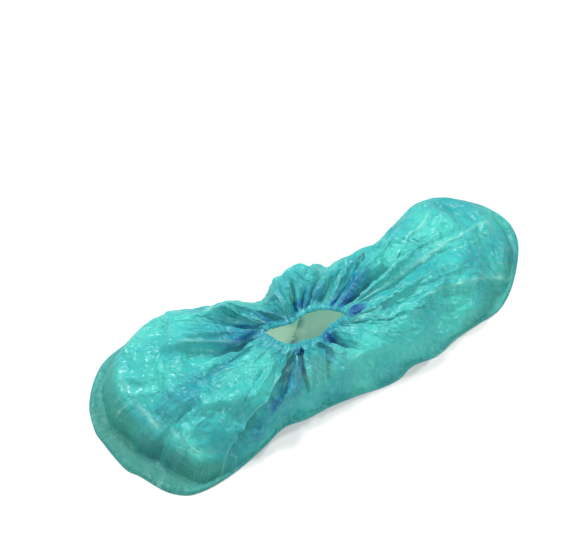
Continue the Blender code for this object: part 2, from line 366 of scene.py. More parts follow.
# The main folds, round the cover and inward from the outline, all as shares: ridges rise and
# valleys sink by a share of the crown's height
FOLDS = (
    # around, half width, rise, begins, fullest, ends
    (0.024, 0.030, -0.14, 0.40, 0.80, 0.98),
    (0.051, 0.024, 0.04, 0.12, 0.24, 0.42),
    (0.085, 0.022, 0.10, 0.20, 0.60, 0.90),
    (0.125, 0.018, 0.16, 0.20, 0.70, 0.95),
    (0.168, 0.024, -0.36, 0.08, 0.62, 0.98),
    (0.191, 0.014, 0.20, 0.20, 0.70, 0.95),
    (0.207, 0.008, -0.30, 0.25, 0.82, 0.99),
    (0.236, 0.024, 0.32, 0.30, 0.78, 0.96),
    (0.272, 0.012, -0.24, 0.36, 0.80, 0.98),
    (0.326, 0.024, -0.32, 0.35, 0.88, 1.00),
    (0.430, 0.028, 0.16, 0.10, 0.60, 0.98),
    (0.466, 0.014, -0.12, 0.20, 0.75, 0.98),
    (0.490, 0.014, 0.12, 0.15, 0.65, 0.95),
    (0.508, 0.012, -0.14, 0.25, 0.75, 0.98),
    (0.524, 0.013, 0.14, 0.20, 0.65, 0.95),
    (0.546, 0.018, -0.30, 0.45, 0.90, 1.00),
    (0.574, 0.014, 0.12, 0.20, 0.70, 0.95),
    (0.604, 0.018, -0.22, 0.45, 0.88, 1.00),
    (0.640, 0.020, 0.14, 0.30, 0.70, 0.95),
    (0.672, 0.013, -0.16, 0.56, 0.82, 0.98),
    (0.690, 0.012, 0.14, 0.56, 0.80, 0.96),
    (0.708, 0.011, -0.32, 0.60, 0.87, 1.00),
    (0.732, 0.012, -0.30, 0.60, 0.87, 1.00),
    (0.766, 0.014, -0.26, 0.48, 0.82, 0.98),
    (0.797, 0.018, 0.22, 0.25, 0.80, 0.95),
    (0.840, 0.022, -0.24, 0.35, 0.88, 1.00),
    (0.870, 0.014, 0.08, 0.25, 0.70, 0.95),
    (0.906, 0.016, 0.16, 0.25, 0.68, 0.95),
    (0.934, 0.016, -0.28, 0.60, 0.86, 1.00),
    (0.966, 0.018, 0.18, 0.20, 0.62, 0.98),
    (0.990, 0.012, -0.22, 0.55, 0.90, 1.00),
)
PLEATS = 43
BROAD_PLEATS = 19
PLEAT_DEPTH = 0.0032
FILM_COLUMNS = 880
FILM_ROWS = 101
# Under 1, it sets the rows a little closer to each other toward the opening
ROW_BUNCHING = 0.9
# How much longer the film is than the surface that it is squeezed into, the steps that it
# has to buckle, the farthest that a point of it moves, and how much larger it is then made
FILM_SLACK = 0.12
BUCKLE_STEPS = 16
BUCKLE_MOST = 0.006
BUCKLE_SCALE = 10.0
# Facets between the film's creases: the large ones before it buckles, the others after
CRUMPLES = (
    # size of the facets, height, seed
    (0.030, 0.0024, 31),
)
FINE_CRUMPLES = (
    (0.019, 0.0018, 73),
    (0.010, 0.0009, 91),
    (0.006, 0.0004, 15),
)
# Small creases that run to the opening. They sway sideways by a share of the way round, in
# waves of 50 mm.
FAN_SWAY = 0.004
FAN_SWAY_LENGTH = 0.05
FANS = (
    # from, to, cells round the cover, cells from outline to opening, height, seed
    (0.000, 1.000, 130.0, 2.4, 0.0007, 9.0),
    (0.390, 0.630, 110.0, 1.2, 0.0020, 19.0),
    (0.440, 0.580, 170.0, 0.8, 0.0012, 49.0),
    (0.085, 0.240, 140.0, 1.3, 0.0013, 29.0),
    (0.860, 0.990, 110.0, 1.8, 0.0009, 39.0),
)
# The long one-sided creases. Past the ridge the film drops over a share of the half width, and
# climbs back over another.
CREASE_DROP = 0.35
CREASE_CLIMB = 0.95
CREASES = (
    # from around and inward, to around and inward, half width, ridge and drop in metres
    (0.172, 0.98, 0.149, 0.72, 0.026, 0.0010, 0.0045),
    (0.149, 0.72, 0.140, 0.48, 0.030, 0.0026, 0.0045),
    (0.140, 0.48, 0.119, 0.22, 0.030, 0.0028, 0.0055),
    (0.119, 0.22, 0.108, 0.08, 0.024, 0.0012, 0.0025),
    (0.219, 0.98, 0.211, 0.28, -0.013, 0.0024, 0.0040),
    (0.262, 0.90, 0.240, 0.28, 0.013, 0.0020, 0.0036),
    (0.296, 0.78, 0.254, 0.40, -0.014, 0.0010, 0.0020),
    (0.972, 0.58, 0.984, 0.92, 0.020, 0.0022, 0.0040),
    (0.914, 0.50, 0.898, 0.72, -0.016, 0.0025, 0.0040),
    (0.425, 0.90, 0.466, 0.40, -0.020, 0.0014, 0.0022),
    (0.466, 0.40, 0.474, 0.08, -0.020, 0.0012, 0.0018),
    (0.512, 0.92, 0.516, 0.18, 0.014, 0.0014, 0.0020),
    (0.545, 0.90, 0.556, 0.30, -0.012, 0.0012, 0.0018),
    (0.637, 0.86, 0.655, 0.40, 0.016, 0.0018, 0.0030),
    (0.695, 0.88, 0.692, 0.62, 0.012, 0.0020, 0.0035),
    (0.768, 0.96, 0.764, 0.55, -0.012, 0.0034, 0.0045),
    (0.802, 0.96, 0.796, 0.55, 0.012, 0.0020, 0.0030),
)
# The film's roll over the hem: the angles of its rings, how far it lifts, how far it reaches
# in radii of the hem, how much of that the pleats take and the tongues add
ROLL_ANGLES = [math.radians(angle) for angle in (64.0, 84.0, 104.0, 124.0, 145.0)]
ROLL_LIFT = 0.0017
ROLL_REACH = 1.15
ROLL_PLEAT = 1.1
ROLL_TONGUE = 0.45
ROLL_LAG = 0.0015
TONGUE_AT = 0.85
TONGUE_FOLD = 0.004
TONGUE_RISE = 0.0008
# Places where several layers lie behind each other in shaded hollows: painted blue, both for
# the layers and as painted shade
BLUE_LAYERS_AND_SHADE_PLACES = (
    # around, inward, half widths of both, how blue
    (0.930, 0.80, 0.050, 0.30, 0.50),
    (0.975, 0.84, 0.040, 0.26, 0.50),
    (0.030, 0.60, 0.036, 0.40, 0.20),
    (0.180, 0.50, 0.040, 0.50, 0.50),
    (0.245, 0.80, 0.030, 0.20, 0.25),
    (0.590, 0.90, 0.060, 0.20, 0.60),
    (0.715, 0.84, 0.050, 0.24, 0.55),
    (0.850, 0.76, 0.050, 0.34, 0.55),
    (0.930, 0.86, 0.020, 0.13, 1.00),
    (0.984, 0.88, 0.012, 0.13, 1.00),
    (0.028, 0.72, 0.020, 0.22, 0.45),
    (0.045, 0.16, 0.034, 0.10, 0.18),
    (0.175, 0.52, 0.018, 0.28, 0.85),
    (0.172, 0.76, 0.020, 0.20, 0.75),
    (0.162, 0.34, 0.016, 0.18, 0.75),
    (0.150, 0.20, 0.014, 0.14, 0.50),
    (0.206, 0.70, 0.007, 0.28, 0.90),
    (0.196, 0.85, 0.022, 0.22, 0.70),
    (0.207, 0.94, 0.008, 0.12, 0.90),
    (0.322, 0.96, 0.030, 0.13, 1.00),
    (0.500, 0.96, 0.016, 0.07, 0.80),
    (0.560, 0.95, 0.026, 0.11, 1.00),
    (0.604, 0.96, 0.024, 0.10, 1.00),
    (0.622, 0.90, 0.016, 0.10, 0.60),
    (0.682, 0.90, 0.010, 0.10, 0.80),
    (0.712, 0.85, 0.010, 0.13, 0.90),
    (0.743, 0.86, 0.010, 0.13, 0.90),
    (0.753, 0.88, 0.008, 0.18, 0.90),
    (0.782, 0.93, 0.010, 0.10, 0.70),
    (0.858, 0.84, 0.026, 0.20, 0.75),
)
# How strong the painted highlights are on the sharpest small ridges, the long creases and the
# toe's crest, the long creases' half width as a share of the way round, and which bends count
# as ridges, in percent
RIDGE_HIGHLIGHT = 0.55
CREASE_HIGHLIGHT = 0.58
CREST_HIGHLIGHT = 0.55
CREASE_LINE = 0.0015
RIDGE_PERCENT = (91.0, 99.3)
# How blue the deepest valleys are painted, for their layers and as painted shade, and how
# deep that is, then the gaps of the pleats, and the shares of both that the roll keeps
VALLEY_SHADE_BLUE = 0.6
VALLEY_DEPTH = 0.009
GAP_SHADE_BLUE = 0.5
ROLL_VALLEY_SHADE_BLUE = 0.45
ROLL_GAP_SHADE_BLUE = 0.6
CPE_TEAL = "#1BA7B5"
CPE_HAZE = "#48CFC9"
CPE_LIT = "#E6FBF4"
CPE_DEEP_LAYERS_AND_SHADE = "#0B60A6"
CPE_EDGE = "#2A8F88"
CPE_HIGHLIGHT = "#B4F2E4"


def smooth_step(low, high, value):
    """From 0 at low to 1 at high, level at both ends."""
    t = np.clip((value - low) / (high - low), 0.0, 1.0)
    return t * t * (3.0 - 2.0 * t)


opening_plan = section_loop(OPENING_SECTIONS, OPENING_LENGTH, OPENING_WIDTH)
turn = np.array([
    [math.cos(OPENING_TURN), math.sin(OPENING_TURN)],
    [-math.sin(OPENING_TURN), math.cos(OPENING_TURN)],
])
opening_line = opening_plan @ turn + (OPENING_ALONG * COVER_LENGTH, OPENING_ACROSS * COVER_WIDTH)


def spokes_at(around):
    """The six columns of SPOKES at places round the cover, each a row of the answer."""
    spokes = np.array(SPOKES)
    spokes = np.vstack([spokes, spokes[0] + (1.0, 1.0, 0.0, 0.0, 0.0, 0.0)])
    places = (spokes[:, 0] + spokes[:, 1]) / 2.0
    t = np.interp(around % 1.0, places, np.arange(len(places)))
    whole = np.minimum(t.astype(int), len(places) - 2)
    part = (t - whole)[:, None]
    blend = np.hstack([part, part, np.repeat(smooth_step(0.0, 1.0, part), 4, axis=1)])
    return (spokes[whole] + (spokes[whole + 1] - spokes[whole]) * blend).T


def fold_rise(around, inward):
    """How far the main folds lift the film, in metres: round ridges and sharp valleys."""
    rise = np.zeros(np.broadcast(around, inward).shape)
    for place, half_width, height, begins, fullest, ends in FOLDS:
        off = np.minimum(np.abs((around - place + 0.5) % 1.0 - 0.5) / half_width, 1.0)
        ridge = (1.0 - off) ** 2 * (1.0 + 2.0 * off) if height > 0.0 else (1.0 - off) ** 1.5
        growing = smooth_step(begins, fullest, inward)
        rise += height * ridge * growing * (1.0 - smooth_step(fullest, ends, inward))
    return rise * CROWN_HEIGHT


def pleats(around):
    """The small uneven pleats that the elastic draws the film into, from 0 in a crease to 1.
    Six waves shift them sideways, and one makes some of them larger than others."""
    uneven = around + sum(
        0.011 / k * np.sin(2.0 * math.pi * (k * around + offset))
        for k, offset in ((2, 0.13), (3, 0.71), (5, 0.37), (7, 0.92), (11, 0.25), (17, 0.55))
    )
    swell = 9.0 * around + 0.2 * np.sin(2.0 * math.pi * 5.0 * around)
    size = 0.76 + 0.24 * np.sin(2.0 * math.pi * swell)
    broad = np.abs(np.cos(math.pi * BROAD_PLEATS * uneven)) ** 0.6
    narrow = np.abs(np.cos(math.pi * PLEATS * uneven))
    return (0.7 * broad + 0.3 * narrow) * size


def crease_rise(around, inward):
    """The long one-sided creases: a ridge, and a steep drop past it that the film climbs from.
    The second answer is 1 on the line of each ridge and fades to 0 beside it."""
    rise = np.zeros(np.broadcast(around, inward).shape)
    lines = np.zeros(rise.shape)
    for near_rim, start, far_off, end, half_width, ridge, drop in CREASES:
        t = np.clip((inward - start) / (end - start), 0.0, 1.0)
        middle = near_rim + (far_off - near_rim) * t
        off = ((around - middle + 0.5) % 1.0 - 0.5) / half_width
        before = ridge * np.clip(1.0 + off, 0.0, 1.0) ** 2
        dropping = ridge - (ridge + drop) * smooth_step(0.0, CREASE_DROP, off)
        climbing = -drop * np.clip(1.0 - (off - CREASE_DROP) / CREASE_CLIMB, 0.0, 1.0) ** 1.5
        past = np.where(off > CREASE_DROP, climbing, dropping)
        low = min(start, end)
        high = max(start, end)
        begun = smooth_step(low - 0.10, low + 0.04, inward)
        lasting = begun * (1.0 - smooth_step(high - 0.04, high + 0.05, inward))
        rise += np.where(off < 0.0, before, past) * lasting
        lines = np.maximum(lines, lasting * np.exp(-((off * half_width) / CREASE_LINE) ** 2))
    return rise, lines


def hem_height(around):
    """The height of the hem's middle, which sways up and down twice round the opening."""
    return OPENING_HEIGHT + HEM_SWAY * np.sin(4.0 * math.pi * around + 0.6)


def film_surface(around, inward):
    """Points of the upper film, shaped (rows, columns, 3), and how the folds lift it there."""
    outline_share, rim_share, flange, crown, crest, swell = spokes_at(around)
    foot, _ = along_loop(sole_line, outline_share)
    mouth, outward = along_loop(opening_line, rim_share)
    rim = mouth + outward * (2.0 * HEM_RADIUS + 2.0 * HEM_RUFFLE + FILM_GAP)
    run = np.linalg.norm(foot - rim, axis=-1)
    wave = np.sin(2.0 * math.pi * 23.0 * around)
    uneven = 0.90 + 0.12 * wave * np.sin(2.0 * math.pi * 9.0 * around + 1.0)
    flange_end = np.minimum(flange * uneven * FLANGE_WIDTH / run, 0.5 * crest)
    high = crown * CROWN_HEIGHT
    left = np.clip((crest - inward) / (crest - flange_end), 0.0, 1.0)
    rising = FILM_LOW + (high - FILM_LOW) * (1.0 - left**swell) ** (1.0 / swell)
    sinking = high + (hem_height(around) - high) * smooth_step(crest, 1.0, inward)
    height = np.where(inward < crest, rising, sinking)
    body = smooth_step(flange_end, crest, inward)
    lift = fold_rise(around, inward)
    swelling = smooth_step(0.60, 0.96, inward)
    held = 1.0 - 0.5 * smooth_step(0.94, 1.0, inward)
    gathers = PLEAT_DEPTH * (pleats(around) - 0.5) * swelling * held
    height = np.maximum(height + body * (lift + gathers), FILM_LOW)
    plan = foot[None] + (rim - foot)[None] * inward[..., None]
    return np.concatenate([plan, height[..., None]], axis=-1), lift + gathers


def surface_normals(rings):
    """Unit directions out of a closed band of rings."""
    along = np.roll(rings, -1, axis=1) - np.roll(rings, 1, axis=1)
    across = np.gradient(rings, axis=0)
    out = np.cross(along, across)
    return out / np.maximum(np.linalg.norm(out, axis=-1, keepdims=True), 1e-12)


def crease_net(places):
    """Heights from 0 to about 1 that meet in sharp ridges, like the creases of crumpled film."""
    flat = places.reshape(-1, 3)
    heights = [noise.voronoi(Vector(place), distance_metric="DISTANCE")[0][0] for place in flat]
    return np.array(heights).reshape(places.shape[:-1])


def fan_places(around, inward):
    """Places on a tube that is 1 round and 1 long, on which lines run up to the opening."""
    angle = 2.0 * math.pi * (around + 0.0 * inward)
    radius = 1.0 / (2.0 * math.pi)
    up = inward + 0.0 * around
    return np.stack([radius * np.cos(angle), radius * np.sin(angle), up], axis=-1)


def facets(points, size, seed):
    """Heights of a film folded flat and opened again: straight creases across each other, in
    every direction, with flat facets between them."""
    draw = np.random.default_rng(seed)
    total = np.zeros(points.shape[:-1])
    for _ in range(7):
        way = draw.normal(size=3)
        way /= np.linalg.norm(way)
        fold = size * draw.uniform(0.6, 1.7)
        bent = 0.45 * gentle_noise(points, 3.0 * size, draw.integers(1, 10000), octaves=1)
        place = points @ way / fold + draw.uniform() + bent
        total += (4.0 * np.abs(place - np.floor(place) - 0.5) - 1.0) * fold / size
    return total / 7.0


def crumpled(rings, layers, part):
    """The film's points moved along its normals by layers of creased facets."""
    total = sum(height * facets(rings, size, seed) for size, height, seed in layers)
    return rings + surface_normals(rings) * (total * part)[..., None]


def between_rings(rings):
    """The same band of points with twice as many columns and rows, smoothly filled in."""
    before, after, beyond = (np.roll(rings, k, axis=1) for k in (1, -1, -2))
    between = (9.0 * (rings + after) - before - beyond) / 16.0
    wide = np.stack([rings, between], axis=2).reshape(rings.shape[0], -1, 3)
    padded = np.concatenate([2.0 * wide[:1] - wide[1:2], wide, 2.0 * wide[-1:] - wide[-2:-1]])
    middle = (9.0 * (padded[1:-2] + padded[2:-1]) - padded[:-3] - padded[3:]) / 16.0
    full = np.empty((2 * len(wide) - 1,) + wide.shape[1:])
    full[::2] = wide
    full[1::2] = middle
    return full


around = np.arange(FILM_COLUMNS) / FILM_COLUMNS
inward = (np.linspace(0.0, 1.0, FILM_ROWS) ** ROW_BUNCHING)[:, None]
film_rings, film_lift = film_surface(around, inward)
fan = fan_places(around + FAN_SWAY * gentle_noise(film_rings, FAN_SWAY_LENGTH, 60), inward)
plain_normals = surface_normals(film_rings)
coarse = film_rings[::2, ::2]
flange_end = np.clip(spokes_at(around)[2] * FLANGE_WIDTH / MEAN_RUN, *FLANGE_SHARES)
# Where the film is free to crumple: off the flange, and not held by the elastic. Patches of
# 75 mm are more or less lively.
free = smooth_step(0.5 * flange_end, 1.4 * flange_end, inward)
free = free * (1.0 - smooth_step(0.90, 0.99, inward))
lively = np.clip(0.75 + 0.6 * gentle_noise(film_rings, 0.075, 88), 0.25, 1.35)
buckled = crumpled(coarse, CRUMPLES, free[::2, ::2])


def buckle(rings, hold, extra):
    """Lets a film of these points buckle as cloth, without weight. Hold keeps a point in its
    place, from 0 to 1, and extra is how much of FILM_SLACK the film has there."""
    model = bpy.data.objects.new("buckling", ring_mesh("buckling", rings * BUCKLE_SCALE))
    bpy.context.scene.collection.objects.link(model)
    for name, weights in (("hold", hold), ("firm", 1.0 - extra)):
        group = model.vertex_groups.new(name=name)
        for k, weight in enumerate(weights.ravel()):
            group.add([k], float(weight), "REPLACE")
    cloth = model.modifiers.new("Cloth", "CLOTH")
    cloth.settings.quality = 5
    cloth.settings.mass = 0.15
    cloth.settings.tension_stiffness = 15.0
    cloth.settings.compression_stiffness = 15.0
    cloth.settings.shear_stiffness = 5.0
    cloth.settings.bending_stiffness = 0.01
    cloth.settings.air_damping = 1.0
    cloth.settings.vertex_group_mass = "hold"
    cloth.settings.pin_stiffness = 1.0
    cloth.settings.vertex_group_shrink = "firm"
    cloth.settings.shrink_min = -FILM_SLACK
    cloth.settings.shrink_max = 0.0
    cloth.settings.effector_weights.gravity = 0.0
    cloth.point_cache.frame_start = 1
    cloth.point_cache.frame_end = BUCKLE_STEPS
    for frame_number in range(1, BUCKLE_STEPS + 1):
        bpy.context.scene.frame_set(frame_number)
    held = model.evaluated_get(bpy.context.evaluated_depsgraph_get())
    moved = np.empty(rings.size)
    held.data.vertices.foreach_get("co", moved)
    bpy.data.objects.remove(model, do_unlink=True)
    bpy.context.scene.frame_set(1)
    move = moved.reshape(rings.shape) / BUCKLE_SCALE - rings
    length = np.linalg.norm(move, axis=-1, keepdims=True)
    return rings + move * np.minimum(1.0, BUCKLE_MOST / np.maximum(length, 1e-9))


hold = 1.0 - smooth_step(0.0, 0.05, inward[::2]) + np.zeros(coarse.shape[:2])
hold[:1] = 1.0
hold[-1:] = 1.0
extra = 0.12 + 0.88 * smooth_step(0.35, 0.9, inward[::2]) + np.zeros(coarse.shape[:2])
buckled = buckle(buckled, hold, extra)
film_rings = film_rings + between_rings(buckled - coarse)
for start, end, across, along, height, seed in FANS:
    middle = (start + end) / 2.0
    half = (end - start) / 2.0
    off = np.abs((around - middle + 0.5) % 1.0 - 0.5) / half
    inside = np.where(half < 0.5, 1.0 - smooth_step(0.6, 1.0, off), 1.0)
    inside = inside * smooth_step(0.05, 0.3, inward)
    cells = crease_net(fan * (across, across, along) + seed)
    raised = height * inside * (cells - 0.45) * free
    film_rings = film_rings + surface_normals(film_rings) * raised[..., None]
# The long creases run out where the elastic holds the film
creased, crease_lines = crease_rise(around, inward)
creased = creased * (1.0 - 0.85 * smooth_step(0.84, 0.96, inward))
film_lift = film_lift + creased
film_rings = film_rings + plain_normals * (creased * free)[..., None]
film_rings = crumpled(film_rings, FINE_CRUMPLES, free * lively)
film_rings[..., 2] += ROLL_LIFT * smooth_step(0.91, 1.0, inward)
film_rings[..., 2] = np.maximum(film_rings[..., 2], FILM_LOWEST)
film_rings[0, :, 2] = FILM_FOOT

mouth, outward = along_loop(opening_line, spokes_at(around)[1])
hem_centre = mouth + outward * (HEM_RADIUS + HEM_RUFFLE)
tongue = np.clip(fold_rise(around, np.array([[TONGUE_AT]]))[0] / TONGUE_FOLD, 0.0, 1.0)
rolled = []
for angle in ROLL_ANGLES:
    pleated = pleats(around + ROLL_LAG * math.sin(angle)) - 0.5
    reach = HEM_RADIUS * (ROLL_REACH + ROLL_PLEAT * pleated + ROLL_TONGUE * tongue)
    ring = np.empty((FILM_COLUMNS, 3))
    ring[:, :2] = hem_centre + outward * (reach * math.cos(angle))[:, None]
    ring[:, 2] = hem_height(around) + (reach + TONGUE_RISE * tongue) * math.sin(angle)
    rolled.append(ring)
film_rings = np.concatenate([film_rings, rolled])
film_lift = np.concatenate([film_lift, np.repeat(film_lift[-1:], len(rolled), axis=0)])
crease_lines = np.concatenate([crease_lines, np.zeros((len(rolled), FILM_COLUMNS))])
fan = np.concatenate([fan, np.repeat(fan[-1:], len(rolled), axis=0)])
inward = np.concatenate([inward, np.ones((len(rolled), 1))])

# Cast polyethylene, gathered: several layers deepen its pale green to teal, and to blue where
# they pile up; blue is also painted as shade in valleys, hollows and the gaps of the pleats.
# Light that comes through keeps it clear and bright, its skin gives many small glints, and
# painted highlights make bright lines along its ridges and creases. Real creases go down to a
# fraction of a millimetre. So that they show, the finest in the bump are drawn 3.2 mm apart,
# and the painted highlight lines 4 mm apart at the outline, from where they run together to
# 0.6 mm at the opening. The streaks are twice as coarse as the lines.
HAZE_PATCH = 0.0357
HAZE_SHARES = (0.34, 0.64)
BEND_LENGTH = 0.01667
BEND_SHARE = 0.012
LINE_PATCH = 0.0222
WORN_PATCH = 0.00625
# A Wave texture of scale 1 repeats after this many metres
WAVE_LENGTH = 0.314
BUMP_FOLDS = (
    # turns about X and Z in radians, distance from crease to crease in metres
    (0.3, 0.4, 0.013),
    (1.1, 1.3, 0.009),
    (0.7, 2.2, 0.011),
    (2.0, 2.9, 0.007),
    (1.6, 0.9, 0.006),
    (2.6, 0.5, 0.0042),
    (0.2, 1.9, 0.0032),
)
BUMP_FOLD_FULL = 0.010
THROUGH_SHARE = 0.46
# Cells of the painted highlight lines: 240 round the cover, and 3 from its outline to the
# opening
STREAK_CELLS = (240.0, 240.0, 3.0)

cpe_gathered = bpy.data.materials.new("CPE film, gathered")
cpe_gathered.use_nodes = True
tree = cpe_gathered.node_tree
shader = tree.nodes["Principled BSDF"]
place = add_node(tree, "ShaderNodeTexCoord")
layers = add_node(tree, "ShaderNodeAttribute", {"attribute_name": "layers"})
edge_band = add_node(tree, "ShaderNodeAttribute", {"attribute_name": "edge_band"})
ridges = add_node(tree, "ShaderNodeAttribute", {"attribute_name": "ridges"})
fan_place = add_node(tree, "ShaderNodeAttribute", {"attribute_name": "fan_place"})
bend = add_node(tree, "ShaderNodeTexNoise", {"Scale": 1.0 / BEND_LENGTH, "Detail": 2.0},
                {"Vector": place.outputs["Object"]})
bent = add_node(tree, "ShaderNodeMix", {"data_type": "VECTOR", MIX_SHARE: BEND_SHARE},
                {VECTOR_FROM: place.outputs["Object"], VECTOR_TO: bend.outputs["Color"]})

# Colour: teal with haze, greener on the flange, blue under many layers and as painted shade
# in valleys, hollows and the gaps of the pleats
haze = add_node(tree, "ShaderNodeTexNoise", {"Scale": 1.0 / HAZE_PATCH, "Detail": 4.0},
                {"Vector": place.outputs["Object"]})
haziness = add_node(tree, "ShaderNodeMapRange", {
    "From Min": HAZE_SHARES[0],
    "From Max": HAZE_SHARES[1],
}, {"Value": haze.outputs["Fac"]})
hazy = add_node(tree, "ShaderNodeMix", {
    "data_type": "RGBA",
    COLOUR_FROM: linear(CPE_TEAL),
    COLOUR_TO: linear(CPE_HAZE),
}, {MIX_SHARE: haziness.outputs["Result"]})
edged = add_node(tree, "ShaderNodeMix", {"data_type": "RGBA", COLOUR_TO: linear(CPE_EDGE)},
                 {MIX_SHARE: edge_band.outputs["Fac"], COLOUR_FROM: hazy.outputs[2]})
# The layers attribute paints blue for stacked film and painted shade together
tint = add_node(tree, "ShaderNodeMix", {"data_type": "RGBA", COLOUR_TO: linear(CPE_DEEP_LAYERS_AND_SHADE)},
                {MIX_SHARE: layers.outputs["Fac"], COLOUR_FROM: edged.outputs[2]})

# Painted highlights: fine bright lines that run to the opening here and there, and the mesh's
# own ridges
line_noise = add_node(tree, "ShaderNodeTexNoise", {"Scale": 1.0, "Detail": 3.0},
                      {"Vector": fan_place.outputs["Vector"]})
off_middle = add_node(tree, "ShaderNodeMath", {"operation": "SUBTRACT", 1: 0.5},
                      {0: line_noise.outputs["Fac"]})
near_middle = add_node(tree, "ShaderNodeMath", {"operation": "ABSOLUTE"},
                       {0: off_middle.outputs["Value"]})
line = add_node(tree, "ShaderNodeMapRange", {"From Max": 0.014, "To Min": 0.45, "To Max": 0.0},
                {"Value": near_middle.outputs["Value"]})
patchy = add_node(tree, "ShaderNodeTexNoise", {"Scale": 1.0 / LINE_PATCH, "Detail": 2.0},
                  {"Vector": place.outputs["Object"]})
where = add_node(tree, "ShaderNodeMapRange", {"From Min": 0.45, "From Max": 0.62},
                 {"Value": patchy.outputs["Fac"]})
fine_lines = add_node(tree, "ShaderNodeMath", {"operation": "MULTIPLY"},
                      {0: line.outputs["Result"], 1: where.outputs["Result"]})
lines = add_node(tree, "ShaderNodeMath", {"operation": "MAXIMUM"},
                 {0: fine_lines.outputs["Value"], 1: ridges.outputs["Fac"]})
single = add_node(tree, "ShaderNodeMapRange", {"To Min": 1.0, "To Max": 0.35},
                  {"Value": layers.outputs["Fac"]})
highlight_share = add_node(tree, "ShaderNodeMath", {"operation": "MULTIPLY"},
                    {0: lines.outputs["Value"], 1: single.outputs["Result"]})
# Painted highlight: the ridges and lines are laid on in a pale colour
colour = add_node(tree, "ShaderNodeMix", {"data_type": "RGBA", COLOUR_TO: linear(CPE_HIGHLIGHT)},
                  {MIX_SHARE: highlight_share.outputs["Value"], COLOUR_FROM: tint.outputs[2]})
tree.links.new(colour.outputs[2], shader.inputs["Base Color"])

# Gloss: uneven where hands and packing have worn it, duller on the flange
worn = add_node(tree, "ShaderNodeTexNoise", {"Scale": 1.0 / WORN_PATCH, "Detail": 3.0},
                {"Vector": place.outputs["Object"]})
gloss = add_node(tree, "ShaderNodeMapRange", {"To Min": 0.18, "To Max": 0.42},
                 {"Value": worn.outputs["Fac"]})
duller = add_node(tree, "ShaderNodeMath", {"operation": "MULTIPLY_ADD", 1: 0.22},
                  {0: edge_band.outputs["Fac"], 2: gloss.outputs["Result"]})
tree.links.new(duller.outputs["Value"], shader.inputs["Roughness"])
shader.inputs["IOR"].default_value = CPE_IOR
shader.inputs["Alpha"].default_value = 0.93

# Relief: crossing sharp creases and streaks up to the opening, in patches, weak on the flange
relief = None
for turn_x, turn_z, fold in BUMP_FOLDS:
    turned = add_node(tree, "ShaderNodeMapping", {"Rotation": (turn_x, 0.0, turn_z)},
                      {"Vector": bent.outputs[1]})
    folds = add_node(tree, "ShaderNodeTexWave", {
        "wave_profile": "TRI",
        "Scale": WAVE_LENGTH / fold,
        "Distortion": 2.2,
        "Detail": 1.0,
        "Detail Scale": 0.6,
    }, {"Vector": turned.outputs["Vector"]})
    tall = add_node(tree, "ShaderNodeMath", {"operation": "MULTIPLY", 1: fold / BUMP_FOLD_FULL},
                    {0: folds.outputs["Fac"]})
    if relief:
        tall = add_node(tree, "ShaderNodeMath", {"operation": "ADD"},
                        {0: relief.outputs["Value"], 1: tall.outputs["Value"]})
    relief = tall
streaks = add_node(tree, "ShaderNodeTexNoise", {
    "noise_type": "RIDGED_MULTIFRACTAL",
    "Scale": 0.45,
    "Detail": 3.0,
}, {"Vector": fan_place.outputs["Vector"]})
relief = add_node(tree, "ShaderNodeMath", {"operation": "ADD"},
                  {0: relief.outputs["Value"], 1: streaks.outputs["Fac"]})
calmer = add_node(tree, "ShaderNodeMapRange", {"To Min": 1.0, "To Max": 0.45},
                  {"Value": edge_band.outputs["Fac"]})
relief_patchy = add_node(tree, "ShaderNodeMapRange", {
    "From Min": 0.38,
    "From Max": 0.60,
    "To Min": 0.45,
    "To Max": 1.1,
}, {"Value": patchy.outputs["Fac"]})
strength = add_node(tree, "ShaderNodeMath", {"operation": "MULTIPLY"},
                    {0: calmer.outputs["Result"], 1: relief_patchy.outputs["Result"]})
bump = add_node(tree, "ShaderNodeBump", {"Distance": 0.0008},
                {"Height": relief.outputs["Value"], "Strength": strength.outputs["Value"]})
tree.links.new(bump.outputs["Normal"], shader.inputs["Normal"])

# Light through the film, paler where it is one layer out of the painted shade, and off the
# flange
palest = add_node(tree, "ShaderNodeMapRange", {"To Min": 0.30, "To Max": 0.0},
                  {"Value": layers.outputs["Fac"]})
off_edge = add_node(tree, "ShaderNodeMapRange", {"To Min": 1.0, "To Max": 0.5},
                    {"Value": edge_band.outputs["Fac"]})
paleness = add_node(tree, "ShaderNodeMath", {"operation": "MULTIPLY"},
                    {0: palest.outputs["Result"], 1: off_edge.outputs["Result"]})
paler = add_node(tree, "ShaderNodeMix", {"data_type": "RGBA", COLOUR_TO: linear(CPE_LIT)},
                 {MIX_SHARE: paleness.outputs["Value"], COLOUR_FROM: colour.outputs[2]})
through = add_node(tree, "ShaderNodeBsdfTranslucent", None,
                   {"Color": paler.outputs[2], "Normal": bump.outputs["Normal"]})
film_light = add_node(tree, "ShaderNodeMixShader", {0: THROUGH_SHARE},
                      {1: shader.outputs["BSDF"], 2: through.outputs["BSDF"]})
tree.links.new(film_light.outputs["Shader"], tree.nodes["Material Output"].inputs["Surface"])

